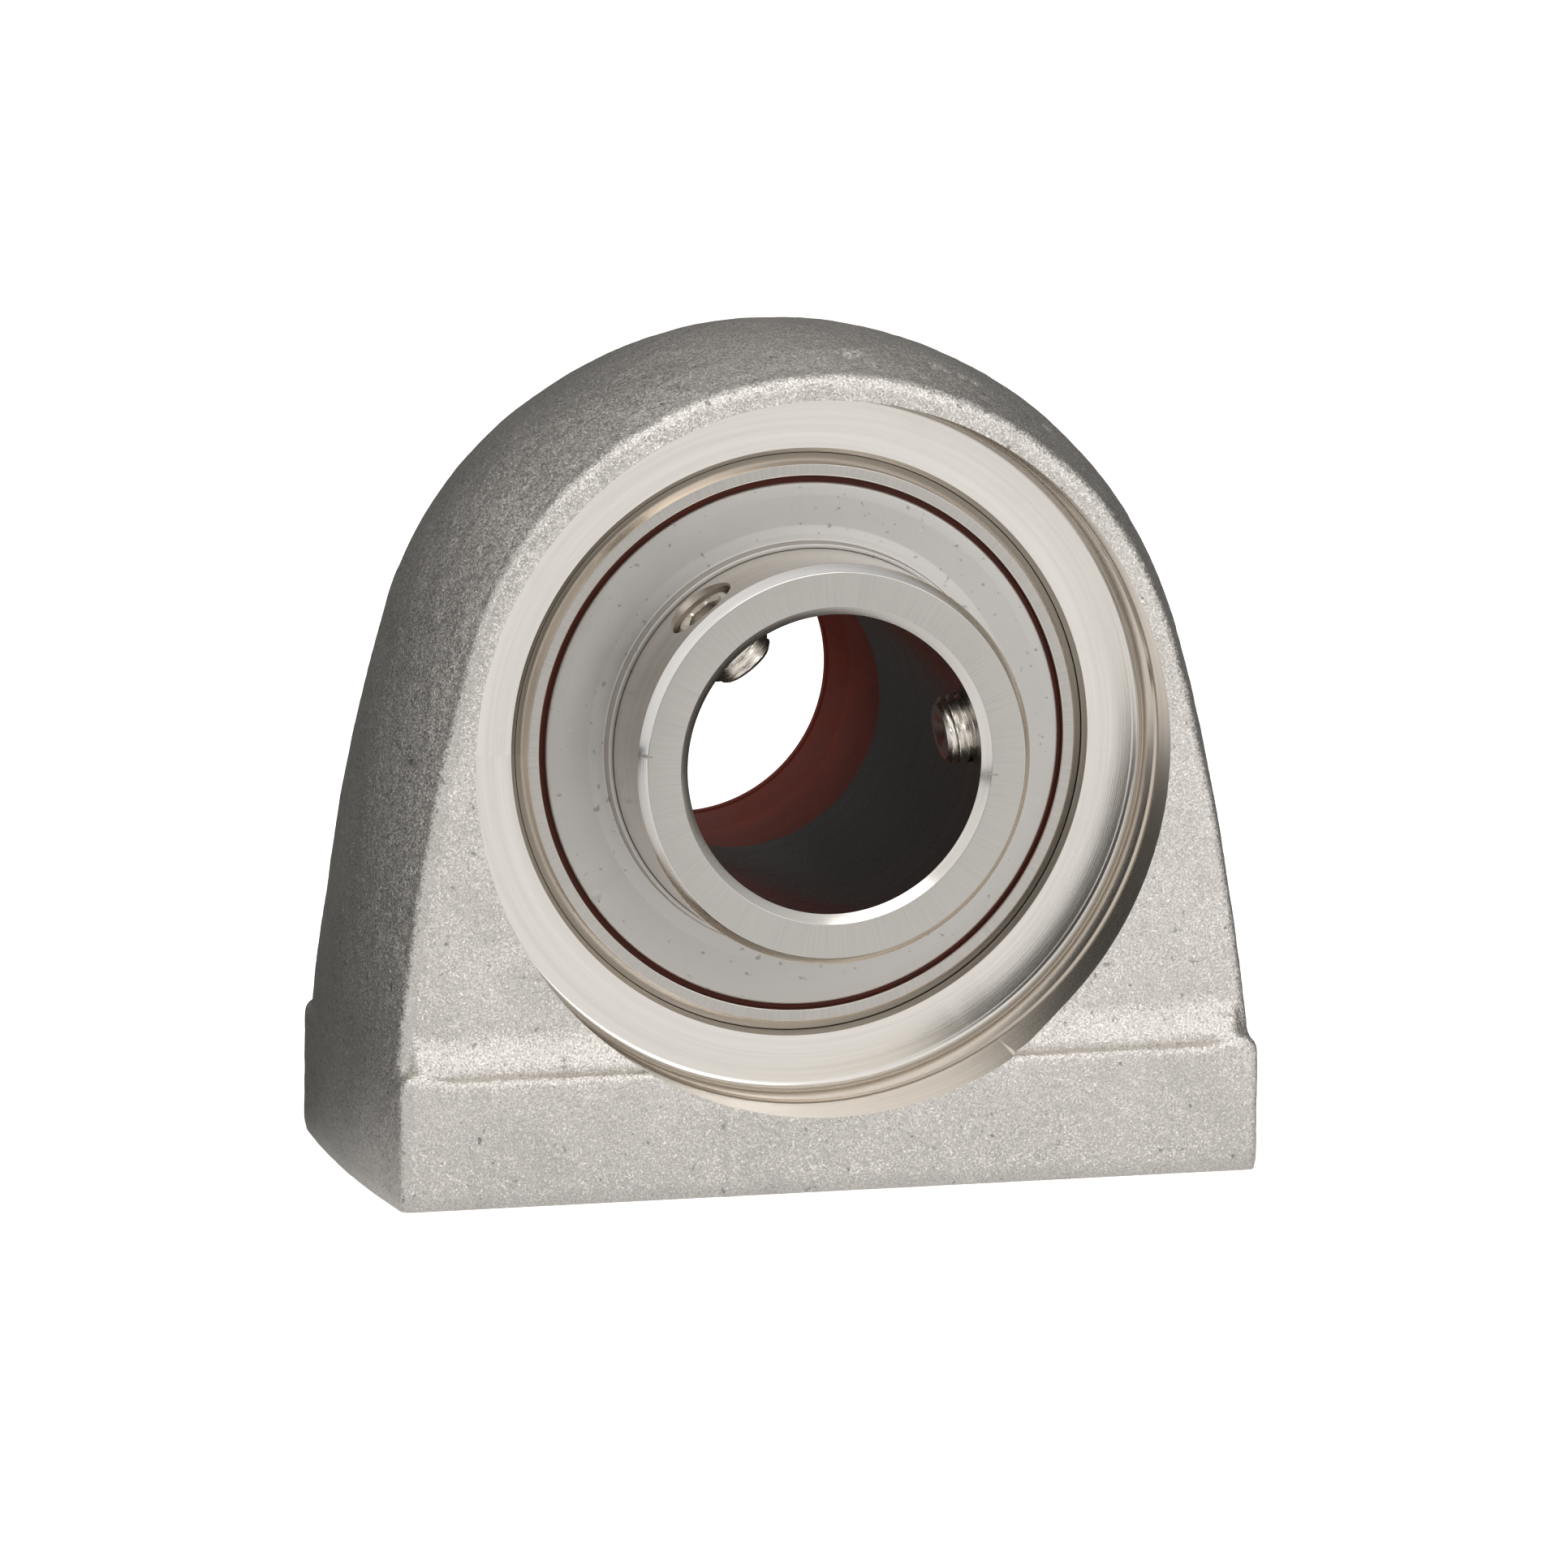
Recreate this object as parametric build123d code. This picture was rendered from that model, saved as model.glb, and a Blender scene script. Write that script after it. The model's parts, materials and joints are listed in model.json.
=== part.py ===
"""Tapped-base pillow block with a set-screw insert ball bearing and a snap-in rear cover.

Frame, in millimetres: +X along the base, +Z up, the shaft along Y, the set-screw collar towards -Y.
The origin is the centre of the machined base, straight below the shaft's axis.
Everything is drawn about the point where the shaft's axis crosses the block's middle plane, and
lifted by centre_height when it is written.
"""

import os
from math import cos, radians, sin, sqrt, tan

from build123d import *

# ---------------------------------------------------------------- housing casting
centre_height = 36.5  # base to shaft axis
base_length = 76.2
base_width = 38.1
plinth_height = 11.6
side_bend_height = 9.5  # where the arch's bowed sides end
arch_foot_inset = 0.12  # how far inside the plinth's ends they end
face_inset = 2.95  # each cast face inside the base's side, at the shaft's height
face_lean = 2.0  # degrees, each cast face against the vertical
rim_wall = 4.65  # crown thickness over the recess, in the middle plane
crown_end_angle = 16.5  # degrees above the shaft's level where the crown gives way to the sides
crown_barrel_radius = 41.0  # the crown's swell across its width
end_barrel_radius = 220.0  # the same for the plinth's ends
arch_edge_radius = 2.0
plinth_corner_radius = 1.6
plinth_edge_radius = 1.4
ledge_radius = 0.8
machining_stock = 3.0  # cast below the base and milled off

# ---------------------------------------------------------------- machined recess and seat
seat_clearance = 0.04  # between the spherical seat and the insert's outer ring
seat_edge_chamfer = 0.3
land_offset = 8.0  # middle plane to the flat land round the seat
land_width = 5.17  # from the seat's edge to the recess wall
recess_corner_radius = 0.9
cover_shoulder_offset = 11.8  # middle plane to the small step in the recess wall
cover_shoulder_step = 0.2
loading_slot_side_clearance = 0.3
loading_slot_radial_clearance = 0.06

# ---------------------------------------------------------------- tapped base holes
tapped_hole_spacing = 50.8
tapped_hole_radius = 4.25  # M10 core
tapped_hole_depth = 15.0
tapped_hole_countersink = 0.9
drill_point_angle = 118.0

# ---------------------------------------------------------------- insert bearing
bore_radius = 12.7
inner_groove_wall = 2.811  # bore to the bottom of the inner groove
ball_radius = 3.969
ball_count = 9
outer_groove_wall = 2.511  # bottom of the outer groove to the outer ring's sphere
groove_conformity = 1.04  # groove radius over ball radius
race_clearance = 0.02
outer_ring_width = 17.0
outer_shoulder_rise = 2.5  # the balls' pitch circle to the outer ring's inside
outer_ring_corner_radius = 0.5
seal_mouth_step = 0.85  # counterbore that takes a seal, beyond the outer ring's inside
seal_mouth_depth = 2.4
collar_wall = 4.3  # the inner ring's thickness beside its groove
inner_ring_front = 19.8  # middle plane to the collar's end
inner_ring_rear = 14.3
outer_chamfer_radial = 0.65
outer_chamfer_axial = 0.9
bore_chamfer_radial = 0.8
bore_chamfer_axial = 0.7

# ---------------------------------------------------------------- cage
cage_sheet = 0.6
cage_band_width = 2.6
pocket_clearance = 0.12
rivet_shank_radius = 0.5
rivet_head_radius = 0.95
rivet_head_height = 0.4

# ---------------------------------------------------------------- seals and flingers
seal_sheet = 0.6
seal_rim_height = 1.1
seal_press_clearance = 0.02
seal_lip_thickness = 0.5
seal_lip_clearance = 0.3  # rubber to whatever turns past it
seal_inner_gap = 1.6  # steel sheet to the inner ring, which the rubber lip bridges
seal_bead_width = 0.95
flinger_sheet = 0.6
flinger_rim_clearance = 0.5  # flinger to the seal's mouth in the outer ring
flinger_offset = 8.7  # middle plane to the flinger's outer edge, outside
flinger_dish = 0.5  # how much further out the disc stands at its neck
flinger_neck_wall = 0.42
flinger_neck_end = 10.6  # middle plane to the end of the neck
flinger_press_clearance = 0.01

# ---------------------------------------------------------------- set screws
screw_radius = 2.95
screw_hole_clearance = 0.05
screw_hole_countersink = 0.35
screw_offset = 5.0  # collar's end to the screws' axes
screw_angles = (129.0, 9.0)  # degrees from +X towards +Z
screw_head_depth = 0.6  # how far the head lies under the collar's outside
screw_tip_clearance = 0.05  # tip to a shaft that fills the bore
screw_edge_chamfer = 0.35
hex_socket_width = 3.0  # across flats
hex_socket_depth = 2.0
screw_cup_radius = 1.5
screw_cup_depth = 0.5

# ---------------------------------------------------------------- end cover and its seal
cover_fit_clearance = 0.1  # cover to the recess wall
cover_end_clearance = 0.3  # cover's inner end to the land
cover_wall = 1.8
cover_reach = 29.0  # middle plane to the cover's outer face
cover_round = 7.5
cover_inner_chamfer = 1.3  # clears the fillet in the recess corner
cover_seal_start = 2.7  # inner ring's end to the seal's sleeve
cover_lip_clearance = 0.1  # lip to a shaft that fills the bore
cover_sleeve_gap = 1.5  # sleeve to the shaft
cover_sleeve_wall = 1.2
cover_flange_width = 1.9
cover_flange_thickness = 1.1
cover_lip_reach = 3.8  # cover's face to the tip of the lip
cover_lip_wall = 0.9

# ---------------------------------------------------------------- worked out from the sizes above
beyond = 2 * base_length  # further than any piece reaches, for what is cut right through
pitch_radius = bore_radius + inner_groove_wall + race_clearance + ball_radius
ring_sphere_radius = pitch_radius + ball_radius + race_clearance + outer_groove_wall
seat_radius = ring_sphere_radius + seat_clearance
collar_radius = bore_radius + collar_wall
outer_shoulder_radius = pitch_radius + outer_shoulder_rise
seal_mouth_radius = outer_shoulder_radius + seal_mouth_step
flinger_radius = seal_mouth_radius - flinger_rim_clearance

base_level = -centre_height
plinth_top = base_level + plinth_height
cast_floor = base_level - machining_stock
body_width = base_width - 2 * face_inset
half_base = base_width / 2
seat_edge_radius = sqrt(seat_radius**2 - land_offset**2)
recess_radius = seat_edge_radius + land_width
recess_mouth_radius = recess_radius + cover_shoulder_step
crown_radius = recess_mouth_radius + rim_wall
half_ring = outer_ring_width / 2
groove_radius = groove_conformity * ball_radius
inner_groove_centre = pitch_radius - ball_radius - race_clearance + groove_radius
outer_groove_centre = pitch_radius + ball_radius + race_clearance - groove_radius
ball_angles = [90 + 360 * i / ball_count for i in range(ball_count)]
rivet_angles = [angle + 180 / ball_count for angle in ball_angles]
seal_seat = half_ring - seal_mouth_depth
seal_rim = seal_mouth_radius - seal_press_clearance
flinger_back = flinger_offset - flinger_sheet
screw_axis_y = screw_offset - inner_ring_front
screw_hole_radius = screw_radius + screw_hole_clearance
screw_head = collar_radius - screw_head_depth
screw_tip = bore_radius + screw_tip_clearance
cover_radius = recess_radius - cover_fit_clearance
cover_bead_radius = recess_mouth_radius - cover_fit_clearance
cover_start = land_offset + cover_end_clearance
cover_bead_start = cover_shoulder_offset + cover_end_clearance
sleeve_radius = bore_radius + cover_sleeve_gap
sleeve_outside = sleeve_radius + cover_sleeve_wall
sleeve_start = inner_ring_rear + cover_seal_start


def turned(section):
    """The solid that a section in (distance along the shaft, radius) makes about the shaft."""
    return revolve(Plane.YZ * section, Axis.Y)


def outline(*points):
    return make_face(Polyline(*points, close=True))


def strip(start, end, inner, outer):
    """A rectangle between two distances along the shaft and two radii."""
    return outline((start, inner), (end, inner), (end, outer), (start, outer))


def along_shaft(radius, start, end):
    """A cylinder on the shaft's axis."""
    return turned(strip(start, end, 0, radius))


def rear_of(front_piece):
    return mirror(front_piece, about=Plane.XZ)


def facing_out(angle, radius, y=0.0):
    """A frame at an angle round the shaft, its +Z pointing away from the shaft."""
    away = Vector(cos(radians(angle)), 0, sin(radians(angle)))
    return Plane(origin=away * radius + Vector(0, y, 0), x_dir=(0, 1, 0), z_dir=away)


def corners_at(sketch, *points):
    """The corners of a sketch that lie nearest to the given points."""
    return [
        min(sketch.vertices(), key=lambda corner: (corner.X - x) ** 2 + (corner.Y - y) ** 2)
        for x, y in points
    ]


# ---------------------------------------------------------------- housing
def barrel_drop(barrel_radius, offset):
    """How far a barrelled surface falls away from its middle at an offset."""
    return barrel_radius - sqrt(barrel_radius**2 - offset**2)


def swelling(section_at):
    """A form that swells smoothly from both faces to the parting line in the middle plane."""
    offsets = (-half_base, 0, half_base)
    return loft([Plane.XZ.offset(-offset) * section_at(offset) for offset in offsets])


def arch_section(offset):
    """Front view of the arch: a crown about the shaft, and gently bowed sides that lean out."""
    radius = crown_radius - barrel_drop(crown_barrel_radius, offset)
    half_foot = base_length / 2 - arch_foot_inset - barrel_drop(end_barrel_radius, offset)
    bend = Vector(half_foot, base_level + side_bend_height)
    outward = Vector(cos(radians(crown_end_angle)), sin(radians(crown_end_angle)))
    crown_end = outward * radius
    side_radius = (bend - crown_end).length ** 2 / (2 * (radius - bend.dot(outward)))
    side_centre = crown_end - outward * side_radius
    side_middle = side_centre + ((bend + crown_end) / 2 - side_centre).normalized() * side_radius
    right = ThreePointArc(crown_end, side_middle, bend)
    crown = ThreePointArc((-crown_end.X, crown_end.Y), (0, radius), crown_end)
    foot = Polyline(bend, (half_foot, cast_floor), (-half_foot, cast_floor), (-bend.X, bend.Y))
    return make_face(crown + right + foot + mirror(right, about=Plane.YZ))


def plinth_section(offset):
    length = base_length - 2 * barrel_drop(end_barrel_radius, offset)
    rectangle = Rectangle(length, plinth_top - cast_floor, align=(Align.CENTER, Align.MIN))
    return Pos(0, cast_floor) * rectangle


def near_faces(edges):
    """The edges towards the front and back, leaving out those that are milled off."""
    upper = [edge for edge in edges if edge.center().Z > cast_floor + machining_stock / 2]
    return [edge for edge in upper if abs(edge.center().Y) > body_width / 4]


def arch():
    """The arch between its two leaning faces, with its rims rounded."""
    rise = tan(radians(face_lean))
    top = crown_radius + machining_stock
    upper = body_width / 2 - top * rise
    lower = body_width / 2 - cast_floor * rise
    side_view = outline((upper, top), (lower, cast_floor), (-lower, cast_floor), (-upper, top))
    block = swelling(arch_section) & extrude(Plane.YZ * side_view, beyond, both=True)
    return fillet(near_faces(block.edges()), arch_edge_radius)


def plinth():
    block = swelling(plinth_section)
    uprights = [edge for edge in near_faces(block.edges()) if edge.length < base_length / 2]
    block = fillet(uprights, plinth_corner_radius)
    return fillet(block.edges().group_by(Axis.Z)[-1], plinth_edge_radius)


def casting():
    """Arch and plinth run into one another, with a fillet where each cast face meets its ledge."""
    block = arch() + plinth()
    ledge_lines = [
        edge
        for edge in block.edges()
        if edge.length > base_length / 2 and abs(edge.center().Z - plinth_top) < ledge_radius
    ]
    inner_creases = sorted(ledge_lines, key=lambda edge: abs(edge.center().Y))[:2]
    return fillet(inner_creases, ledge_radius)


def recess_section():
    """The rear half of what is turned out: cover recess, flat land and spherical seat."""
    pocket = outline(
        (land_offset, 0),
        (land_offset, recess_radius),
        (cover_shoulder_offset, recess_radius),
        (cover_shoulder_offset + cover_shoulder_step, recess_mouth_radius),
        (beyond, recess_mouth_radius),
        (beyond, 0),
    )
    pocket = fillet(corners_at(pocket, (land_offset, recess_radius)), recess_corner_radius)
    seat_edge = outline(
        (land_offset - seat_edge_chamfer, 0),
        (land_offset - seat_edge_chamfer, seat_edge_radius),
        (land_offset, seat_edge_radius + seat_edge_chamfer),
        (land_offset, 0),
    )
    return pocket + seat_edge


def loading_slots():
    """Two slots on the rear side that let the insert in edgeways before it is turned square."""
    width = outer_ring_width + 2 * loading_slot_side_clearance
    radius = ring_sphere_radius + loading_slot_radial_clearance
    passage = along_shaft(radius, 0, land_offset + seat_edge_chamfer)
    return passage & Box(beyond, beyond, width)


def tapped_hole():
    """Blind hole up from the base, with its drill point and a countersunk mouth."""
    point = tapped_hole_radius / tan(radians(drill_point_angle / 2))
    mouth = tapped_hole_radius + tapped_hole_countersink
    profile = outline(
        (0, 0),
        (mouth, 0),
        (tapped_hole_radius, tapped_hole_countersink),
        (tapped_hole_radius, tapped_hole_depth),
        (0, tapped_hole_depth + point),
    )
    return Pos(0, 0, base_level) * revolve(Plane.XZ * profile, Axis.Z)


def housing():
    recess = turned(recess_section())
    block = casting() - recess - rear_of(recess) - Sphere(seat_radius) - loading_slots()
    below = Box(beyond, beyond, beyond, align=(Align.CENTER, Align.CENTER, Align.MAX))
    holes = [Pos(side * tapped_hole_spacing / 2, 0, 0) * tapped_hole() for side in (-1, 1)]
    return block - Pos(0, 0, base_level) * below - holes


# ---------------------------------------------------------------- rings, balls and cage
def outer_ring():
    """A slice of a sphere with a ball groove and a stepped mouth for a seal on each side."""
    ball = Circle(ring_sphere_radius)
    band = strip(-half_ring, half_ring, outer_shoulder_radius, seat_radius)
    section = ball & band
    edge_radius = sqrt(ring_sphere_radius**2 - half_ring**2)
    rims = corners_at(section, (-half_ring, edge_radius), (half_ring, edge_radius))
    section = fillet(rims, outer_ring_corner_radius)
    section -= strip(-half_ring, -seal_seat, 0, seal_mouth_radius)
    section -= strip(seal_seat, half_ring, 0, seal_mouth_radius)
    section -= Pos(0, outer_groove_centre) * Circle(groove_radius)
    return turned(section)


def screw_hole(angle):
    """A radial hole through one wall of the collar, with a countersunk mouth."""
    wall = collar_radius - bore_radius
    hole = facing_out(angle, bore_radius - wall / 2, screw_axis_y) * Cylinder(
        screw_hole_radius, 2 * wall, align=(Align.CENTER, Align.CENTER, Align.MIN)
    )
    mouth = facing_out(angle, collar_radius, screw_axis_y) * Cone(
        screw_hole_radius,
        screw_hole_radius + 2 * screw_hole_countersink,
        2 * screw_hole_countersink,
    )
    return hole + mouth


def inner_ring():
    """The long ring: ball groove at the middle plane, set-screw collar in front."""
    front, rear = -inner_ring_front, inner_ring_rear
    section = outline(
        (front, bore_radius + bore_chamfer_radial),
        (front + bore_chamfer_axial, bore_radius),
        (rear - bore_chamfer_axial, bore_radius),
        (rear, bore_radius + bore_chamfer_radial),
        (rear, collar_radius - outer_chamfer_radial),
        (rear - outer_chamfer_axial, collar_radius),
        (front + outer_chamfer_axial, collar_radius),
        (front, collar_radius - outer_chamfer_radial),
    )
    section -= Pos(0, inner_groove_centre) * Circle(groove_radius)
    return turned(section) - [screw_hole(angle) for angle in screw_angles]


def ball(angle):
    return facing_out(angle, pitch_radius) * Sphere(ball_radius)


def cage_rear():
    """One pressed ribbon: a flat ring that domes over every ball."""
    pocket_radius = ball_radius + pocket_clearance
    dome_radius = pocket_radius + cage_sheet
    inner = pitch_radius - cage_band_width / 2
    outer = pitch_radius + cage_band_width / 2
    ribbon = turned(strip(0, cage_sheet, inner, outer))
    domes = [facing_out(angle, pitch_radius) * Sphere(dome_radius) for angle in ball_angles]
    pockets = [facing_out(angle, pitch_radius) * Sphere(pocket_radius) for angle in ball_angles]
    band = turned(strip(0, dome_radius, inner, outer))
    holes = [rivet_shank(angle, dome_radius) for angle in rivet_angles]
    return (ribbon + [dome & band for dome in domes]) - pockets - holes


def rivet_shank(angle, reach):
    centre = facing_out(angle, pitch_radius).origin
    return Pos(centre) * Rot(90, 0, 0) * Cylinder(rivet_shank_radius, 2 * reach)


def rivet(angle):
    """A shank through both ribbons with a low round head on each side."""
    centre = facing_out(angle, pitch_radius).origin
    head = Rot(-90, 0, 0) * Cylinder(
        rivet_head_radius, rivet_head_height, align=(Align.CENTER, Align.CENTER, Align.MIN)
    )
    head = fillet(head.edges().sort_by(Axis.Y)[-1], rivet_head_height / 2)
    head = Pos(0, cage_sheet, 0) * head
    return rivet_shank(angle, cage_sheet) + Pos(centre) * (head + rear_of(head))


# ---------------------------------------------------------------- seals and flingers
def rear_seal_insert():
    """Pressed steel: a rim that grips the outer ring's mouth and a disc towards the inner ring."""
    disc = strip(seal_seat, seal_seat + seal_sheet, collar_radius + seal_inner_gap, seal_rim)
    rim = strip(seal_seat, seal_seat + seal_rim_height, seal_rim - seal_sheet, seal_rim)
    return turned(disc + rim)


def rear_seal_lip():
    """Rubber on the steel: a lip to the inner ring and a bead that shows round the flinger."""
    face = seal_seat + seal_sheet
    lip_edge = collar_radius + seal_lip_clearance
    bead_end = flinger_back - seal_lip_clearance
    lip = outline(
        (face, seal_rim - seal_sheet),
        (face, collar_radius + seal_inner_gap),
        (face - seal_sheet / 2, lip_edge),
        (face, lip_edge),
        (face + seal_lip_thickness, collar_radius + seal_inner_gap),
        (face + seal_lip_thickness, seal_rim - seal_sheet),
    )
    bead = strip(seal_seat + seal_rim_height, bead_end, seal_rim - seal_bead_width, seal_rim)
    return turned(lip + bead)


def rear_flinger():
    """Sheet disc pressed on the inner ring, slightly dished, with a short neck."""
    hub = collar_radius + flinger_press_clearance
    neck = hub + flinger_neck_wall
    section = outline(
        (flinger_back, flinger_radius),
        (flinger_offset, flinger_radius),
        (flinger_offset + flinger_dish, neck),
        (flinger_neck_end, neck),
        (flinger_neck_end, hub),
        (flinger_back + flinger_dish, hub),
    )
    rim = corners_at(section, (flinger_offset, flinger_radius), (flinger_neck_end, neck))
    return turned(fillet(rim, flinger_neck_wall / 2))


# ---------------------------------------------------------------- set screws
def set_screw(angle):
    """Grub screw with a hexagon socket and a cup at its tip."""
    length = screw_head - screw_tip
    body = Cylinder(screw_radius, length, align=(Align.CENTER, Align.CENTER, Align.MIN))
    body = chamfer(body.edges().filter_by(GeomType.CIRCLE), screw_edge_chamfer)
    socket = extrude(RegularPolygon(hex_socket_width / 2, 6, major_radius=False), hex_socket_depth)
    cup = Cone(screw_cup_radius, 0, screw_cup_depth, align=(Align.CENTER, Align.CENTER, Align.MIN))
    screw = body - Pos(0, 0, length - hex_socket_depth) * socket - cup
    return facing_out(angle, screw_tip, screw_axis_y) * screw


# ---------------------------------------------------------------- end cover and its seal
def end_cover():
    """Moulded cup: a skirt in the rear recess, a rounded shoulder and an open face."""
    inner_face = cover_reach - cover_wall
    skirt_inside = cover_radius - cover_wall
    outside = outline(
        (cover_start, 0),
        (cover_start, cover_radius),
        (cover_bead_start, cover_radius),
        (cover_bead_start, cover_bead_radius),
        (cover_reach, cover_bead_radius),
        (cover_reach, 0),
    )
    outside = fillet(corners_at(outside, (cover_reach, cover_bead_radius)), cover_round)
    outside = chamfer(corners_at(outside, (cover_start, cover_radius)), cover_inner_chamfer)
    inside = strip(0, inner_face, 0, skirt_inside)
    inside = fillet(corners_at(inside, (inner_face, skirt_inside)), cover_round - cover_wall)
    return turned(outside - inside - strip(0, beyond, 0, sleeve_outside))


def end_cover_seal():
    """Silicone ring gripping the cover's rim, with a sleeve and a lip that narrows to the shaft."""
    flange = sleeve_outside + cover_flange_width
    inner_face = cover_reach - cover_wall
    lip_tip = cover_reach + cover_lip_reach
    lip_edge = bore_radius + cover_lip_clearance
    sleeve = strip(sleeve_start, cover_reach, sleeve_radius, sleeve_outside)
    flanges = strip(inner_face - cover_flange_thickness, inner_face, sleeve_radius, flange)
    flanges += strip(cover_reach, cover_reach + cover_flange_thickness, sleeve_radius, flange)
    lip = outline(
        (cover_reach, sleeve_radius),
        (lip_tip, lip_edge),
        (lip_tip, lip_edge + cover_lip_wall / 2),
        (cover_reach + cover_flange_thickness, sleeve_outside),
        (cover_reach, sleeve_outside),
    )
    return turned(sleeve + flanges + lip)


# ---------------------------------------------------------------- every piece by its node's name
def pieces():
    named = {
        "housing": housing(),
        "outer_ring": outer_ring(),
        "inner_ring": inner_ring(),
        "cage_rear": cage_rear(),
        "cage_front": rear_of(cage_rear()),
        "cage_rivets": Compound([rivet(angle).solid() for angle in rivet_angles]),
        "end_cover": end_cover(),
        "end_cover_seal": end_cover_seal(),
    }
    for number, angle in enumerate(ball_angles, 1):
        named[f"ball_{number}"] = ball(angle)
    for number, angle in enumerate(screw_angles, 1):
        named[f"set_screw_{number}"] = set_screw(angle)
    for kind, rear in (
        ("seal_insert", rear_seal_insert()),
        ("seal_lip", rear_seal_lip()),
        ("flinger", rear_flinger()),
    ):
        named[f"rear_{kind}"] = rear
        named[f"front_{kind}"] = rear_of(rear)
    return named


os.makedirs("parts", exist_ok=True)
for name, piece in pieces().items():
    export_step(Pos(0, 0, centre_height) * piece, f"parts/{name}.step")
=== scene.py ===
"""Looks of the tapped-base pillow block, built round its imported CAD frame.

Metres, +Z up, the shaft along Y and the set-screw collar towards -Y, as in the frame.
"""
import json
from contextlib import contextmanager
from math import atan2, cos, hypot, pi, radians, sin, sqrt, tan

import bmesh
import bpy
import numpy as np
from mathutils import Matrix, Vector


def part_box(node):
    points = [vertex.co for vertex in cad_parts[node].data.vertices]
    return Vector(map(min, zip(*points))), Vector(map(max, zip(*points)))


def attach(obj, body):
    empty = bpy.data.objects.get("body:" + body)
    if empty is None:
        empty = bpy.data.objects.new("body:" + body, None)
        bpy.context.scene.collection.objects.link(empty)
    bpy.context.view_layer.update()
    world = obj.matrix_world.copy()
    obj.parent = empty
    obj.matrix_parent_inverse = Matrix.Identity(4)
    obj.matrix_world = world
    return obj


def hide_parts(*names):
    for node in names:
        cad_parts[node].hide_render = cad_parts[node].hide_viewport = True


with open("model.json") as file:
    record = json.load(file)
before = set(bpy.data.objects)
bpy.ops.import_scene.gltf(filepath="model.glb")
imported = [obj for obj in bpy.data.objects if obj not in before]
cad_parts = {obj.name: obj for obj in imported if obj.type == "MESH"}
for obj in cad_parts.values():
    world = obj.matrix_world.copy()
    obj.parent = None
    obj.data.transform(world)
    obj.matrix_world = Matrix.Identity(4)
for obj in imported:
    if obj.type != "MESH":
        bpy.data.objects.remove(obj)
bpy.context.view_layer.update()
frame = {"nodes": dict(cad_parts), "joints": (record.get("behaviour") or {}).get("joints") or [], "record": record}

MM = 0.001
TINY = 0.01 * MM  # clearance when places are compared


# ---------------------------------------------------------------- sizes read from the frame
mounts = {mount["name"]: mount for mount in frame["record"]["mounts"]}
joints = {joint["name"]: joint for joint in frame["joints"]}
shaft_height = mounts["shaft_bore"]["pos_m"][2]
bore_radius = mounts["shaft_bore"]["dims"]["r_mm"] * MM


def reach(node, axis, side):
    """How far a node reaches along an axis (0, 1, 2), on its low (0) or high (1) side."""
    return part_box(node)[side][axis]


housing_low, housing_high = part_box("housing")
collar_front = -reach("inner_ring", 1, 0)
inner_ring_rear = reach("inner_ring", 1, 1)
collar_radius = reach("inner_ring", 0, 1)
half_ring = reach("outer_ring", 1, 1)
flinger_radius = reach("rear_flinger", 0, 1)
flinger_back = reach("rear_flinger", 1, 0)
flinger_neck_end = reach("rear_flinger", 1, 1)
cover_radius = reach("end_cover", 0, 1)
cover_start = reach("end_cover", 1, 0)
cover_end = reach("end_cover", 1, 1)
cover_seal_start = reach("end_cover_seal", 1, 0)
cover_seal_end = reach("end_cover_seal", 1, 1)
cover_seal_radius = reach("end_cover_seal", 0, 1)

# ---------------------------------------------------------------- sizes of the machined housing
recess_radius = 29.95 * MM
recess_mouth_radius = 30.15 * MM
recess_corner_radius = 0.9 * MM
land_offset = 8.0 * MM
cover_shoulder_offset = 11.8 * MM
seat_radius = 26.04 * MM
seat_edge_chamfer = 0.4 * MM
body_width = 32.2 * MM
face_lean = radians(2.0)
plinth_height = 11.6 * MM
base_half_width = 19.05 * MM
tapped_hole_spacing = mounts["base_screws"]["dims"]["spacing_x_mm"] * MM
tapped_hole_radius = mounts["base_screws"]["dims"]["hole_r_mm"] * MM
tapped_hole_depth = 15.0 * MM
tapped_hole_countersink = 0.9 * MM
drill_point_half_angle = radians(59)
core_radius = 1 * MM  # of the thin core that the turned cutter leaves on the shaft's axis

# ---------------------------------------------------------------- the slope above the plinth
slope_rise = 3.0 * MM
slope_foot_inset = 0.55 * MM  # from the plinth's edge
slope_sink = 0.1 * MM  # into the plinth and into the cast face
slope_curve = 0.55  # the power that bows it; 1 is straight
slope_sections = ((-37.0, 1.9), (-35.4, 0.0), (35.4, 0.0), (37.0, 1.9))  # mm: x, foot drawn in by

# ---------------------------------------------------------------- the cast skin, in millimetres
skin_voxel = 0.34
skin_layers = (("waves", 14.0, 0.40), ("lumps", 3.2, 0.14), ("pebbles", 0.9, 0.07))  # size, height
calm_height = 2.6  # above the milled base, over which the skin gets rough
calm_share = 0.12  # of the roughness, left at the milled edge
rim_rise = 0.24  # of the front face's rounded rims
rim_start, rim_blend = 2.0, 2.0  # above the plinth's top
rim_end, rim_end_blend = 33.0, 2.0  # from the middle: beyond it the plinth's rims rise too
crease_drop = 0.2  # of the crease's bottom under the plinth's top
crease_depth, crease_width = 0.6, 0.34
crease_end, crease_blend = 35.5, 3.0  # from the middle
seam_place, seam_rise, seam_width = -9.0, 0.16, 0.35  # the mould's parting line across the plinth
seam_top = 0.8  # under the plinth's top
bevel_depth, bevel_height = 0.6, 0.9  # of the milled base's edge
stock, stock_top, stock_blend = 1.5, 0.9, 0.7  # how far the lowest skin is drawn down to be milled
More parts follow.
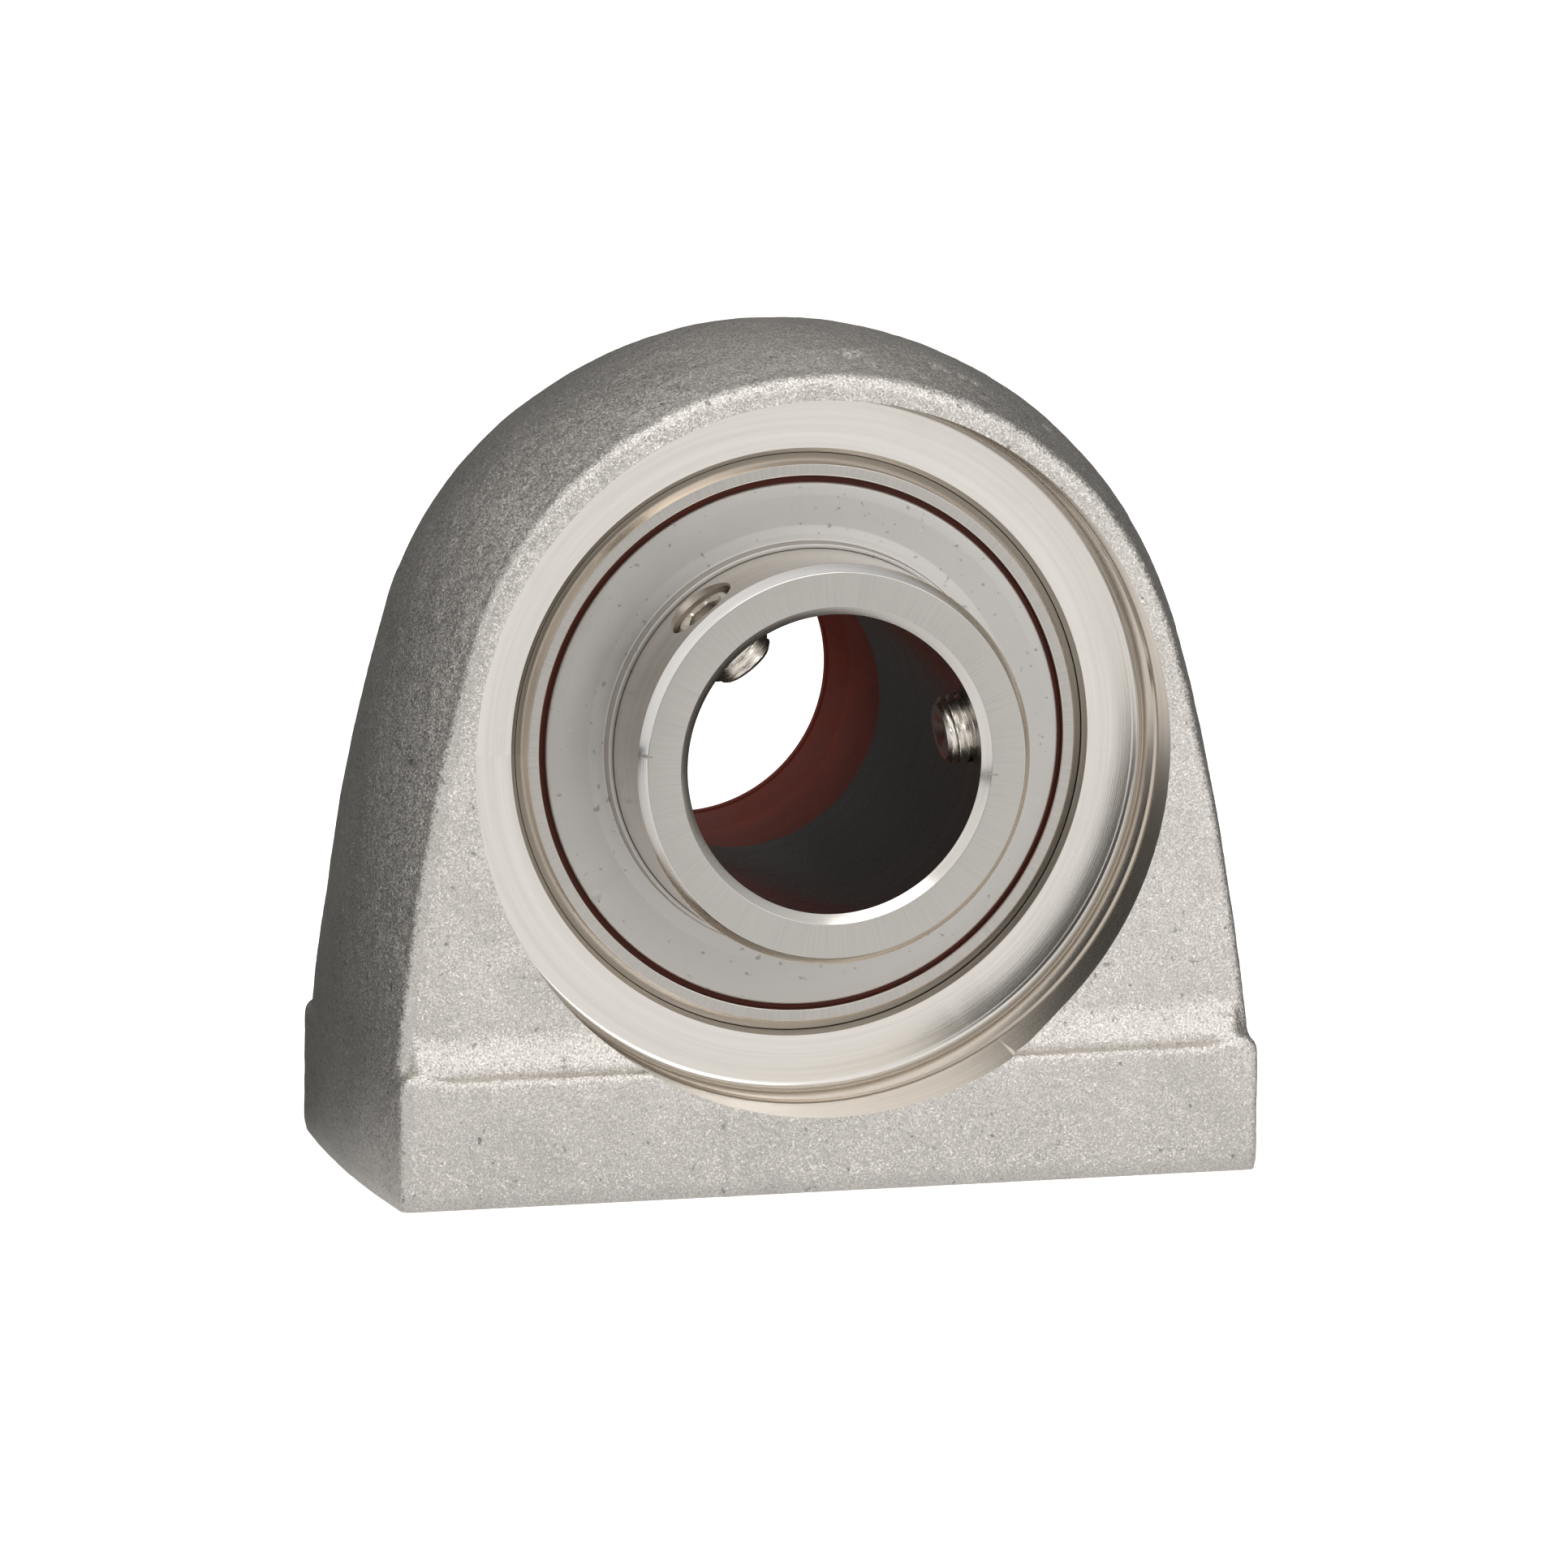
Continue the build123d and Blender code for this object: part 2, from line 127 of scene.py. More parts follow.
nicks = (  # small handling marks on the crown: place, size, depth
    ((3.3, -10.7, 69.6), 0.6, 0.35),
    ((4.2, -10.2, 69.6), 0.5, 0.25),
    ((11.2, -9.1, 68.3), 0.45, 0.30),
    ((12.3, -9.1, 67.9), 0.4, 0.25),
    ((13.5, -9.2, 67.4), 0.4, 0.30),
    ((14.7, -9.2, 66.8), 0.45, 0.30),
    ((22.4, -5.1, 62.7), 0.7, 0.50),
    ((21.0, -9.4, 63.0), 0.6, 0.30),
)


# ---------------------------------------------------------------- mesh helpers
def add_object(name, mesh):
    made = bpy.data.objects.new(name, mesh)
    bpy.context.scene.collection.objects.link(made)
    return made


def get_points(mesh):
    points = np.empty(len(mesh.vertices) * 3)
    mesh.vertices.foreach_get("co", points)
    return points.reshape(-1, 3)


def set_points(mesh, points):
    mesh.vertices.foreach_set("co", points.ravel())
    mesh.update()


@contextmanager
def edited(mesh):
    """The mesh as a bmesh, written back at the end of the block."""
    shell = bmesh.new()
    shell.from_mesh(mesh)
    yield shell
    shell.to_mesh(mesh)
    shell.free()


def shade(mesh, sharp_angle):
    """Smooth faces, and sharp edges where the form turns by more than an angle in degrees."""
    mesh.polygons.foreach_set("use_smooth", [True] * len(mesh.polygons))
    mesh.set_sharp_from_angle(angle=radians(sharp_angle))


def closed_object(name, points, faces, finishes=(), indices=(), place=None):
    """An object from closed faces, with each one's index among its materials, moved by place."""
    mesh = bpy.data.meshes.new(name)
    mesh.from_pydata(points, [], faces)
    for finish in finishes:
        mesh.materials.append(finish)
    if indices:
        mesh.polygons.foreach_set("material_index", indices)
    if place is not None:
        mesh.transform(place)
    with edited(mesh) as shell:
        bmesh.ops.remove_doubles(shell, verts=shell.verts, dist=1e-7)
        bmesh.ops.recalc_face_normals(shell, faces=shell.faces)
    shade(mesh, 35)
    mesh.update()
    return add_object(name, mesh)


def rounded(corners, steps=6):
    """A closed outline from corners (y, r) or (y, r, radius), the latter turned into arcs."""
    outline = []
    for number, corner in enumerate(corners):
        here = Vector(corner[:2])
        if len(corner) == 2:
            outline.append(here)
            continue
        before = (Vector(corners[number - 1][:2]) - here).normalized()
        after = (Vector(corners[(number + 1) % len(corners)][:2]) - here).normalized()
        half_angle = before.angle(after) / 2
        centre = here + (before + after).normalized() * corner[2] / sin(half_angle)
        first = here + before * corner[2] / tan(half_angle) - centre
        last = here + after * corner[2] / tan(half_angle) - centre
        for step in range(steps + 1):
            mixed = first.lerp(last, step / steps)
            outline.append(centre + mixed.normalized() * corner[2])
    return outline


def lathe(name, outline, segments=288, finishes=(), finish_at=None):
    """A closed outline of (y, r) points turned about the shaft's axis.

    finishes are its materials, and finish_at(y, r) is the index of the one at a place.
    """
    outline = [Vector(point) for point in outline]
    angles = np.arange(segments) * 2 * pi / segments
    along = np.array([point[0] for point in outline])
    radius = np.array([point[1] for point in outline])
    x = np.outer(np.cos(angles), radius)
    z = np.outer(np.sin(angles), radius) + shaft_height
    y = np.broadcast_to(along, x.shape)
    points = np.stack([x, y, z], axis=-1).reshape(-1, 3)
    count = len(outline)
    faces = []
    for segment in range(segments):
        here, there = segment * count, (segment + 1) % segments * count
        for i in range(count):
            j = (i + 1) % count
            faces.append((here + i, here + j, there + j, there + i))
    indices = []
    if finish_at:
        middles = [(outline[i] + outline[(i + 1) % count]) / 2 for i in range(count)]
        indices = [finish_at(*middle) for middle in middles]
    return closed_object(name, points.tolist(), faces, finishes, indices * segments)


def ring_stack(name, rings, place=None):
    """A closed mesh through rings of equal length, with capped ends, moved by place."""
    count = len(rings[0])
    points = [point for ring in rings for point in ring]
    faces = []
    for level in range(len(rings) - 1):
        for i in range(count):
            j = (i + 1) % count
            a, b = level * count, (level + 1) * count
            faces.append((a + i, a + j, b + j, b + i))
    for level in (0, len(rings) - 1):
        tip = len(points)
        ring = rings[level]
        points.append(tuple(sum(axis) / count for axis in zip(*ring)))
        start = level * count
        for i in range(count):
            faces.append((start + i, start + (i + 1) % count, tip))
    return closed_object(name, points, faces, place=place)


def circle(radius, z, segments):
    turn = 2 * pi / segments
    return [(radius * cos(i * turn), radius * sin(i * turn), z) for i in range(segments)]


def block(name, low, high):
    """A box between two corners."""
    mesh = bpy.data.meshes.new(name)
    with edited(mesh) as shell:
        bmesh.ops.create_cube(shell, size=1)
    size = Vector(high) - Vector(low)
    middle = (Vector(high) + Vector(low)) / 2
    mesh.transform(Matrix.Translation(middle) @ Matrix.Diagonal((*size, 1)))
    return add_object(name, mesh)


def joined(objects):
    """One object holding the meshes of several, which are deleted."""
    mesh = bpy.data.meshes.new("joined")
    with edited(mesh) as shell:
        for made in objects:
            shell.from_mesh(made.data)
            bpy.data.objects.remove(made)
    return add_object("joined", mesh)


def facing_out(angle, y):
    """A frame on the shaft's axis at y whose +Z points away from the shaft at an angle."""
    away = Vector((cos(angle), 0, sin(angle)))
    along = Vector((0, 1, 0))
    place = Matrix((along, away.cross(along), away)).transposed().to_4x4()
    place.translation = (0, y, shaft_height)
    return place


def apply_modifiers(made):
    """Bakes a piece's modifiers into its mesh."""
    depsgraph = bpy.context.evaluated_depsgraph_get()
    mesh = bpy.data.meshes.new_from_object(made.evaluated_get(depsgraph))
    made.modifiers.clear()
    made.data = mesh


def cut(made, cutters):
    """Takes closed cutters out of a piece, and deletes them."""
    for cutter in cutters:
        modifier = made.modifiers.new("cut", "BOOLEAN")
        modifier.object = cutter
        modifier.operation = "DIFFERENCE"
        modifier.solver = "EXACT"
        modifier.material_mode = "TRANSFER"
    apply_modifiers(made)
    for cutter in cutters:
        bpy.data.objects.remove(cutter)


# ---------------------------------------------------------------- material helpers
WHITE = (1, 1, 1, 1)


class Nodes:
    """A node tree under construction, with short calls for the nodes used here."""

    def __init__(self, tree):
        self.tree = tree

    def node(self, kind, inputs=(), **settings):
        made = self.tree.nodes.new("ShaderNode" + kind)
        for key, value in settings.items():
            setattr(made, key, value)
        for key, value in dict(inputs).items():
            if isinstance(value, bpy.types.NodeSocket):
                self.tree.links.new(value, made.inputs[key])
            else:
                made.inputs[key].default_value = value
        return made

    def math(self, operation, first, second=0.0):
        return self.node("Math", {0: first, 1: second}, operation=operation).outputs[0]

    def vector(self, operation, first, second=(0.0, 0.0, 0.0)):
        return self.node("VectorMath", {0: first, 1: second}, operation=operation).outputs

    def spread(self, value, low, high, new_low=0.0, new_high=1.0):
        """value from low..high to new_low..new_high, held at the ends."""
        inputs = {0: value, 1: low, 2: high, 3: new_low, 4: new_high}
        return self.node("MapRange", inputs).outputs[0]

    def mix_shaders(self, factor, first, second):
        return self.node("MixShader", {0: factor, 1: first, 2: second}).outputs[0]

    def ray_kinds(self):
        """Whether the camera looks, and whether it looks straight or by way of metal or glass."""
        path = self.node("LightPath").outputs
        seen = path["Is Camera Ray"]
        for kind in ("Is Glossy Ray", "Is Transmission Ray"):
            seen = self.math("MAXIMUM", seen, path[kind])
        return path["Is Camera Ray"], seen


class Shader(Nodes):
    """A material whose noises are fixed to its object."""

    def __init__(self, name):
        self.material = bpy.data.materials.new(name)
        self.material.use_nodes = True
        super().__init__(self.material.node_tree)
        self.bsdf = self.tree.nodes["Principled BSDF"]
        self.coords = self.node("TexCoord").outputs["Object"]

    def noise(self, scale, detail, roughness, vector=None):
        inputs = {"Vector": vector or self.coords, "Scale": scale, "Detail": detail}
        inputs["Roughness"] = roughness
        return self.node("TexNoise", inputs).outputs["Fac"]

    def even(self, noise, new_low=0.0, new_high=1.0):
        """The usual range of a noise, from 0.3 to 0.7, to new_low..new_high."""
        return self.spread(noise, 0.3, 0.7, new_low, new_high)

    def mix(self, factor, first, second):
        """A colour between two colours."""
        return self.node("Mix", {0: factor, 6: first, 7: second}, data_type="RGBA").outputs[2]

    def bump(self, height, distance, strength, normal=None):
        inputs = {"Height": height, "Distance": distance, "Strength": strength}
        if normal:
            inputs["Normal"] = normal
        return self.node("Bump", inputs).outputs["Normal"]

    def facets(self, scale, tilt, normal):
        """Tiny flat facets, each leaning its own way."""
        cells = self.node("TexVoronoi", {"Vector": self.coords, "Scale": scale}).outputs["Color"]
        lean = self.vector("SUBTRACT", cells, (0.5, 0.5, 0.5))[0]
        lean = self.node("VectorMath", {0: lean, 3: tilt}, operation="SCALE").outputs[0]
        return self.vector("NORMALIZE", self.vector("ADD", normal, lean)[0])[0]

    def polar(self, along, around, outward):
        """Coordinates about the shaft: turns times around, y times along, radius times outward."""
        parts = self.node("SeparateXYZ", {0: self.coords}).outputs
        z = self.math("SUBTRACT", parts[2], shaft_height)
        turn = self.math("ARCTAN2", z, parts[0])
        squares = [self.math("MULTIPLY", part, part) for part in (parts[0], z)]
        radius = self.math("SQRT", self.math("ADD", *squares))
        inputs = {
            0: self.math("MULTIPLY", turn, around),
            1: self.math("MULTIPLY", parts[1], along),
            2: self.math("MULTIPLY", radius, outward),
        }
        return self.node("CombineXYZ", inputs).outputs[0]

    def finished(self, colour, roughness, normal, metallic=0.0):
        """The material, with its colour, roughness and surface linked."""
        linked = {"Base Color": colour, "Roughness": roughness, "Normal": normal}
        for socket, value in linked.items():
            if value:
                self.tree.links.new(value, self.bsdf.inputs[socket])
        self.bsdf.inputs["Metallic"].default_value = metallic
        return self.material


def gray(level, warmth=0.055):
    """A linear grey, a little warmer (positive) or cooler."""
    return (level * (1 + warmth), level, level * (1 - 1.3 * warmth), 1.0)


# ---------------------------------------------------------------- materials
turning_marks = 9000.0  # noise cells a metre across the marks of the lathe


def cast_skin():
    """Shot-blasted casting: glinting facets over soft pebbles, faint stains and dark pores."""
    s = Shader("cast_skin")
    grain = s.noise(6200, 3, 0.7)
    pebbles = s.noise(900, 3, 0.5)
    stains = s.noise(110, 5, 0.65)
    pores = s.spread(s.noise(1100, 2, 0.5), 0.68, 0.74)
    tone = s.mix(s.even(stains), gray(0.66), gray(0.80))
    tone = s.mix(s.spread(grain, 0.36, 0.56, 0.6, 0.0), tone, gray(0.36))
    tone = s.mix(s.math("MULTIPLY", pores, 0.6), tone, gray(0.12))
    bumps = s.bump(pebbles, 0.00011, 0.8)
    bumps = s.bump(grain, 0.00004, 1.0, bumps)
    normal = s.facets(7600, 0.48, bumps)
    return s.finished(tone, s.spread(grain, 0.42, 0.62, 0.50, 0.27), normal, metallic=0.95)


def stained(s, tone, scale, stain):
    """A tone with faint darker stains."""
    stains = s.noise(scale, 4, 0.6)
    return s.mix(s.spread(stains, 0.55, 0.8, 0.0, 0.25), tone, stain)


def turned_steel(name, level, roughness, groove=0.00001, warmth=0.055):
    """Steel cut in a lathe: fine concentric marks and broader bands."""
    s = Shader(name)
    fine = s.polar(along=turning_marks, around=2.0, outward=turning_marks)
    wide = s.polar(along=turning_marks / 8, around=0.6, outward=turning_marks / 8)
    marks = s.noise(1.0, 3, 0.6, fine)
    bands = s.noise(1.0, 3, 0.6, wide)
    tone = s.mix(s.even(bands), gray(level * 0.9, warmth), gray(level * 1.05, warmth))
    tone = stained(s, tone, 120, gray(level * 0.75, warmth * 2))
    roughness = s.even(marks, roughness * 0.8, roughness * 1.2)
    return s.finished(tone, roughness, s.bump(marks, groove, 0.8), metallic=1.0)


def brushed_face(name, level, roughness):
    """Ground steel whose faint marks run outwards from the shaft."""
    s = Shader(name)
    marks = s.noise(1.0, 3, 0.6, s.polar(along=400.0, around=160.0, outward=120.0))
    tone = s.mix(s.even(marks), gray(level * 0.9), gray(level * 1.07))
    tone = stained(s, tone, 140, gray(level * 0.8))
    roughness = s.even(marks, roughness * 0.85, roughness * 1.15)
    return s.finished(tone, roughness, s.bump(marks, 0.000006, 0.7), metallic=1.0)


def rolled_sheet():
    """Smooth cold-rolled sheet with a faint cloudy sheen, specks and short scratches."""
    s = Shader("rolled_sheet")
    clouds = s.noise(160, 4, 0.6)
    specks = s.spread(s.noise(1500, 1, 0.4), 0.70, 0.76)
    stretched = s.polar(along=200.0, around=60.0, outward=2500.0)
    scratches = s.spread(s.noise(1.0, 2, 0.5, stretched), 0.72, 0.80)
    tone = s.mix(s.even(clouds), gray(0.54, 0.04), gray(0.60, 0.04))
    tone = s.mix(s.math("MULTIPLY", specks, 0.6), tone, gray(0.25))
    tone = s.mix(s.math("MULTIPLY", scratches, 0.5), tone, gray(0.8))
    normal = s.bump(clouds, 0.00003, 0.3)
    return s.finished(tone, s.even(clouds, 0.46, 0.54), normal, metallic=1.0)


def rubber(name, colour, dark, roughness):
    """Moulded elastomer: even colour with a faint bloom and a soft sheen."""
    s = Shader(name)
    bloom = s.noise(300, 4, 0.6)
    tone = s.mix(s.even(bloom), dark, colour)
    roughness = s.even(bloom, roughness * 0.9, roughness * 1.15)
    return s.finished(tone, roughness, s.bump(s.noise(2600, 2, 0.5), 0.00002, 0.3))


def moulded_plastic():
    """Black moulded cover with a fine spark-eroded grain."""
    s = Shader("moulded_plastic")
    grain = s.noise(3000, 2, 0.5)
    tone = s.mix(s.even(s.noise(110, 3, 0.5)), gray(0.018), gray(0.028))
    return s.finished(tone, s.even(grain, 0.36, 0.5), s.bump(grain, 0.00003, 0.5))


def polished_balls():
    """Bearing balls: a mirror with the faintest haze."""
    s = Shader("polished_balls")
    haze = s.noise(200, 3, 0.5)
    tone = s.mix(haze, gray(0.68), gray(0.76))
    return s.finished(tone, s.even(haze, 0.05, 0.10), None, metallic=1.0)


CAST = cast_skin()
MACHINED = turned_steel("machined_recess", 0.73, 0.19, groove=0.000006)
RECESS_WALL = turned_steel("recess_wall", 0.82, 0.12, groove=0.000008, warmth=0.07)
# painted highlight: a lighter copy of the turned steel for the collar's outer chamfer, bright as where light from
# above catches it
PAINTED_HIGHLIGHT_STEEL = turned_steel("steel_painted_highlight", 0.92, 0.14, groove=0.000004, warmth=0.03)
# painted shade: a darker copy of the turned steel for the seat and its chamfer in the gap round the outer ring,
# and for the collar's screw holes and scribed marks
PAINTED_SHADE_STEEL = turned_steel("steel_painted_shade", 0.40, 0.34, groove=0.000008, warmth=0.1)
RING_STEEL = turned_steel("ring_steel", 0.66, 0.18, groove=0.000004)
GROUND_FACE = brushed_face("ground_face", 0.50, 0.34)
HONED_BORE = turned_steel("honed_bore", 0.40, 0.28, groove=0.000003)
SHEET = rolled_sheet()
SCREW_STEEL = turned_steel("screw_steel", 0.85, 0.25, groove=0.000004, warmth=0.05)
SEAL_RED = rubber("seal_red", (0.16, 0.028, 0.012, 1), (0.11, 0.02, 0.009, 1), 0.6)
SILICONE_RED = rubber("silicone_red", (0.44, 0.072, 0.032, 1), (0.34, 0.053, 0.023, 1), 0.55)
COVER_BLACK = moulded_plastic()
BALL_STEEL = polished_balls()
CAGE_STEEL = turned_steel("cage_steel", 0.5, 0.32)


# ---------------------------------------------------------------- housing
def tilted_plug():
    """Fills the bored middle of the block, flush with both leaning cast faces."""
    radius = recess_mouth_radius + 0.35 * MM
    rings = []
    for side in (-1, 1):
        ring = []
        for x, z, _ in circle(radius, 0, 128):
            ring.append((x, side * (body_width / 2 - z * tan(face_lean)), z + shaft_height))
        rings.append(ring)
    return ring_stack("plug", rings)


def ledge_slope(side):
    """The soft slope from one cast face down to the plinth's edge, as a bar along the block."""
    top = plinth_height + slope_rise
    edge = housing_high[1] if side > 0 else -housing_low[1]
    foot = min(edge, base_half_width) - slope_foot_inset
    face = body_width / 2 + (shaft_height - top) * tan(face_lean) - slope_sink
    within = face - 3 * MM
    below = plinth_height - MM
    steps = 8
    rings = []
    for x, shrink in slope_sections:
        profile = []
        for step in range(steps + 1):
            share = step / steps
            out = foot + (face - foot) * share**slope_curve
            profile.append((out - shrink * MM, plinth_height - slope_sink + slope_rise * share))
        profile += [(within, top), (within, below), (foot - shrink * MM, below)]
        rings.append([(x * MM, side * y, z) for y, z in profile])
    return ring_stack("slope", rings)


def at_tapped_hole(side):
    return Matrix.Translation((side * tapped_hole_spacing / 2, 0, 0))


def raw_casting():
    """The block as cast, before machining, in millimetres: an even skin to be given its grain."""
    copy = add_object("copy", frame["nodes"]["housing"].data.copy())
    half, floor, top = 15.5 * MM, 0.5 * MM, plinth_height - 0.02 * MM
    fill = block("fill", (-half, housing_low[1], floor), (half, housing_high[1], top))
    stubs = []
    for side in (-1, 1):
        width = tapped_hole_radius + 2 * tapped_hole_countersink
        rings = [circle(width, 0.02 * MM, 48), circle(width, tapped_hole_depth + 4 * MM, 48)]
        stubs.append(ring_stack("stub", rings, at_tapped_hole(side)))
    casting = joined([copy, tilted_plug(), fill, ledge_slope(-1), ledge_slope(1), *stubs])
    casting.data.transform(Matrix.Scale(1 / MM, 4))
    modifier = casting.modifiers.new("skin", "REMESH")
    modifier.mode = "VOXEL"
    modifier.voxel_size = skin_voxel
    apply_modifiers(casting)
    return casting


def sculpt(casting):
    """Moves the skin, in millimetres: raised rims, a crease under the ledge, a seam, nicks."""
    mesh = casting.data
    points = get_points(mesh)
    normals = np.empty(len(mesh.vertices) * 3)
    mesh.vertex_normals.foreach_get("vector", normals)
    normals = normals.reshape(-1, 3)
    x, y, z = points.T
    shelf = plinth_height / MM
    front = normals[:, 1] < -0.5
    facing = normals[:, 1] ** 2
    crest = np.clip(4 * facing * (1 - facing), 0, 1) * (normals[:, 1] < 0)
    above = np.clip((z - shelf - rim_start) / rim_blend, 0, 1)
    low_ends = np.clip((abs(x) - rim_end) / rim_end_blend, 0, 1)
    push = rim_rise * crest * np.maximum(above, low_ends)
    crease = np.exp(-(((z - shelf + crease_drop) / crease_width) ** 2))
    crease = crease * np.clip((crease_end - abs(x)) / crease_blend, 0, 1)
    push -= crease_depth * crease * front
    below_shelf = np.clip(shelf - seam_top - z, 0, 1)
    push += seam_rise * np.exp(-(((x - seam_place) / seam_width) ** 2)) * below_shelf * front
    bevel = np.clip(1.0 - z / bevel_height, 0, 1)
    push -= bevel_depth * bevel * (np.abs(normals[:, 2]) < 0.8)
    for place, size, depth in nicks:
        away = np.linalg.norm(points - place, axis=1)
        push -= depth * np.exp(-((away / size) ** 2))
    points += normals * push[:, None]
    points[:, 2] -= stock * np.clip((stock_top - z) / stock_blend, 0, 1)
    set_points(mesh, points)


def roughen(casting):
    """Gives the casting, in millimetres, the waviness and pebbles of a cast skin."""
    for name, size, height in skin_layers:
        texture = bpy.data.textures.new(name, "CLOUDS")
        texture.noise_scale = size
        texture.noise_depth = 2
        modifier = casting.modifiers.new(name, "DISPLACE")
        modifier.texture = texture
        modifier.texture_coords = "LOCAL"
        modifier.strength = height
        modifier.mid_level = 0.5
    smooth = get_points(casting.data)
    apply_modifiers(casting)
    share = (smooth[:, 2:] / calm_height).clip(calm_share, 1)
    set_points(casting.data, smooth + (get_points(casting.data) - smooth) * share)


def keep_in_box(mesh):
    """Draws the skin, now in metres, back inside the CAD box at the ends and on top."""
    points = get_points(mesh)
    points[:, 0] = points[:, 0].clip(housing_low[0] + TINY, housing_high[0] - TINY)
    points[:, 2] = points[:, 2].clip(None, housing_high[2] - TINY)
    set_points(mesh, points)


def mill_base(mesh):
    """Takes off what lies below the base, and closes it with a face of the second material."""
    with edited(mesh) as shell:
        everything = [*shell.verts, *shell.edges, *shell.faces]
        place = {"plane_co": (0, 0, 0), "plane_no": (0, 0, 1)}
        sliced = bmesh.ops.bisect_plane(shell, geom=everything, clear_inner=True, **place)
        rim = [edge for edge in sliced["geom_cut"] if isinstance(edge, bmesh.types.BMEdge)]
        for face in bmesh.ops.holes_fill(shell, edges=rim)["faces"]:
            face.material_index = 1


def machining_cutter():
    """What is turned out of the casting: both cover recesses, the lands and the spherical seat."""
    beyond = housing_high[1] + 4 * MM
    edge = sqrt(seat_radius**2 - land_offset**2)
    seat_half = land_offset - seat_edge_chamfer
    step = cover_shoulder_offset + recess_mouth_radius - recess_radius
    half = [(seat_half, edge), (land_offset, edge + seat_edge_chamfer)]
    corners = [(land_offset, edge), (land_offset, recess_radius, recess_corner_radius)]
    half += rounded([*corners, (cover_shoulder_offset, recess_radius)])[1:]
    half += [(step, recess_mouth_radius), (beyond, recess_mouth_radius)]
    steps = 24
    limit = atan2(seat_half, edge)
    turns = [limit * i / steps for i in range(1 - steps, steps)]
    seat = [(seat_radius * sin(turn), seat_radius * cos(turn)) for turn in turns]
    outline = [(-y, r) for y, r in reversed(half)] + seat + half
    outline += [(beyond, core_radius), (-beyond, core_radius)]

    def finish_at(y, r):
        if r > recess_radius - 0.1 * MM:
            return 2
        return 1 if abs(y) < land_offset - 2 * TINY and r > 2 * core_radius else 0

    # the seat and its chamfer take the darker steel, painted shade of the gap round the outer ring
    finishes = (MACHINED, PAINTED_SHADE_STEEL, RECESS_WALL)
    return lathe("cutter", outline, finishes=finishes, finish_at=finish_at)


def tapped_hole_cutter(side):
    """A drilled and countersunk hole in the base, up from below."""
    point = tapped_hole_radius / tan(drill_point_half_angle)
    mouth = tapped_hole_radius + tapped_hole_countersink
    rings = [
        circle(mouth + MM, -MM, 96),
        circle(mouth, 0, 96),
        circle(tapped_hole_radius, tapped_hole_countersink, 96),
        circle(tapped_hole_radius, tapped_hole_depth, 96),
        circle(0.05 * MM, tapped_hole_depth + point, 96),
    ]
    cutter = ring_stack("hole", rings, at_tapped_hole(side))
    cutter.data.materials.append(MACHINED)
    return cutter


def drop_core(mesh):
    """Takes away the core that the turned cutter left standing in the middle of the bore."""

    def in_core(place):
        return hypot(place.x, place.z - shaft_height) < 2 * core_radius

    with edited(mesh) as shell:
        core = [vertex for vertex in shell.verts if in_core(vertex.co)]
        bmesh.ops.delete(shell, geom=core, context="VERTS")


def build_housing():
    casting = raw_casting()
    sculpt(casting)
    roughen(casting)
    casting.data.transform(Matrix.Scale(MM, 4))
    keep_in_box(casting.data)
    casting.data.materials.append(CAST)
    casting.data.materials.append(MACHINED)
    mill_base(casting.data)
    cut(casting, [machining_cutter(), tapped_hole_cutter(-1), tapped_hole_cutter(1)])
    drop_core(casting.data)
    casting.name = "housing_casting"
    shade(casting.data, 40)
    return casting


housing_casting = build_housing()
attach(housing_casting, "housing")
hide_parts("housing")


# ---------------------------------------------------------------- insert bearing
pitch_radius = 19.5 * MM
ball_radius = reach("ball_1", 0, 1)
groove_radius = 1.04 * ball_radius
race_clearance = 0.02 * MM
outer_shoulder_radius = 22.0 * MM
seal_mouth_radius = 22.85 * MM
seal_seat = reach("rear_seal_insert", 1, 0)
outer_corner_radial = 0.75 * MM
outer_corner_axial = 1.1 * MM
outer_corner_rise = 0.3 * MM  # of the sphere's radius over the corner's length
edge_softness = 0.12 * MM  # of the outer ring's edges
inner_edge_softness = 0.1 * MM
collar_chamfer_axial, collar_chamfer_radial = 0.9 * MM, 0.65 * MM
bore_chamfer_axial, bore_chamfer_radial = 0.7 * MM, 0.8 * MM


def groove_arc(centre_radius, edge_radius, start):
    """Points across a ball groove, from y = start * its half width to the other side."""
    half = sqrt(groove_radius**2 - (centre_radius - edge_radius) ** 2)
    limit = atan2(half, abs(centre_radius - edge_radius))
    towards = 1 if edge_radius > centre_radius else -1
    steps = 16
    turns = [limit * start * (1 - 2 * i / steps) for i in range(steps + 1)]
    reach_out = towards * groove_radius
    return [(groove_radius * sin(turn), centre_radius + reach_out * cos(turn)) for turn in turns]


def build_outer_ring():
    sphere = reach("outer_ring", 2, 1) - shaft_height
    edge = sqrt(sphere**2 - half_ring**2)
    corner = edge - outer_corner_radial
    limit = atan2(half_ring - outer_corner_axial, edge + outer_corner_rise)
    steps = 24
    turns = [limit * (1 - 2 * i / steps) for i in range(steps + 1)]
    centre = pitch_radius + ball_radius + race_clearance - groove_radius
    outline = [
        (-half_ring, corner, edge_softness),
        (-half_ring, seal_mouth_radius, edge_softness),
        (-seal_seat, seal_mouth_radius),
        (-seal_seat, outer_shoulder_radius, edge_softness),
        *groove_arc(centre, outer_shoulder_radius, -1),
        (seal_seat, outer_shoulder_radius, edge_softness),
        (seal_seat, seal_mouth_radius),
        (half_ring, seal_mouth_radius, edge_softness),
        (half_ring, corner, edge_softness),
        *[(sphere * sin(turn), sphere * cos(turn)) for turn in turns],
    ]

    def finish_at(y, r):
        return 1 if abs(y) > half_ring - TINY and r > seal_mouth_radius + edge_softness else 0

    finishes = (RING_STEEL, GROUND_FACE)
    return lathe("outer_ring_ground", rounded(outline), 360, finishes, finish_at)


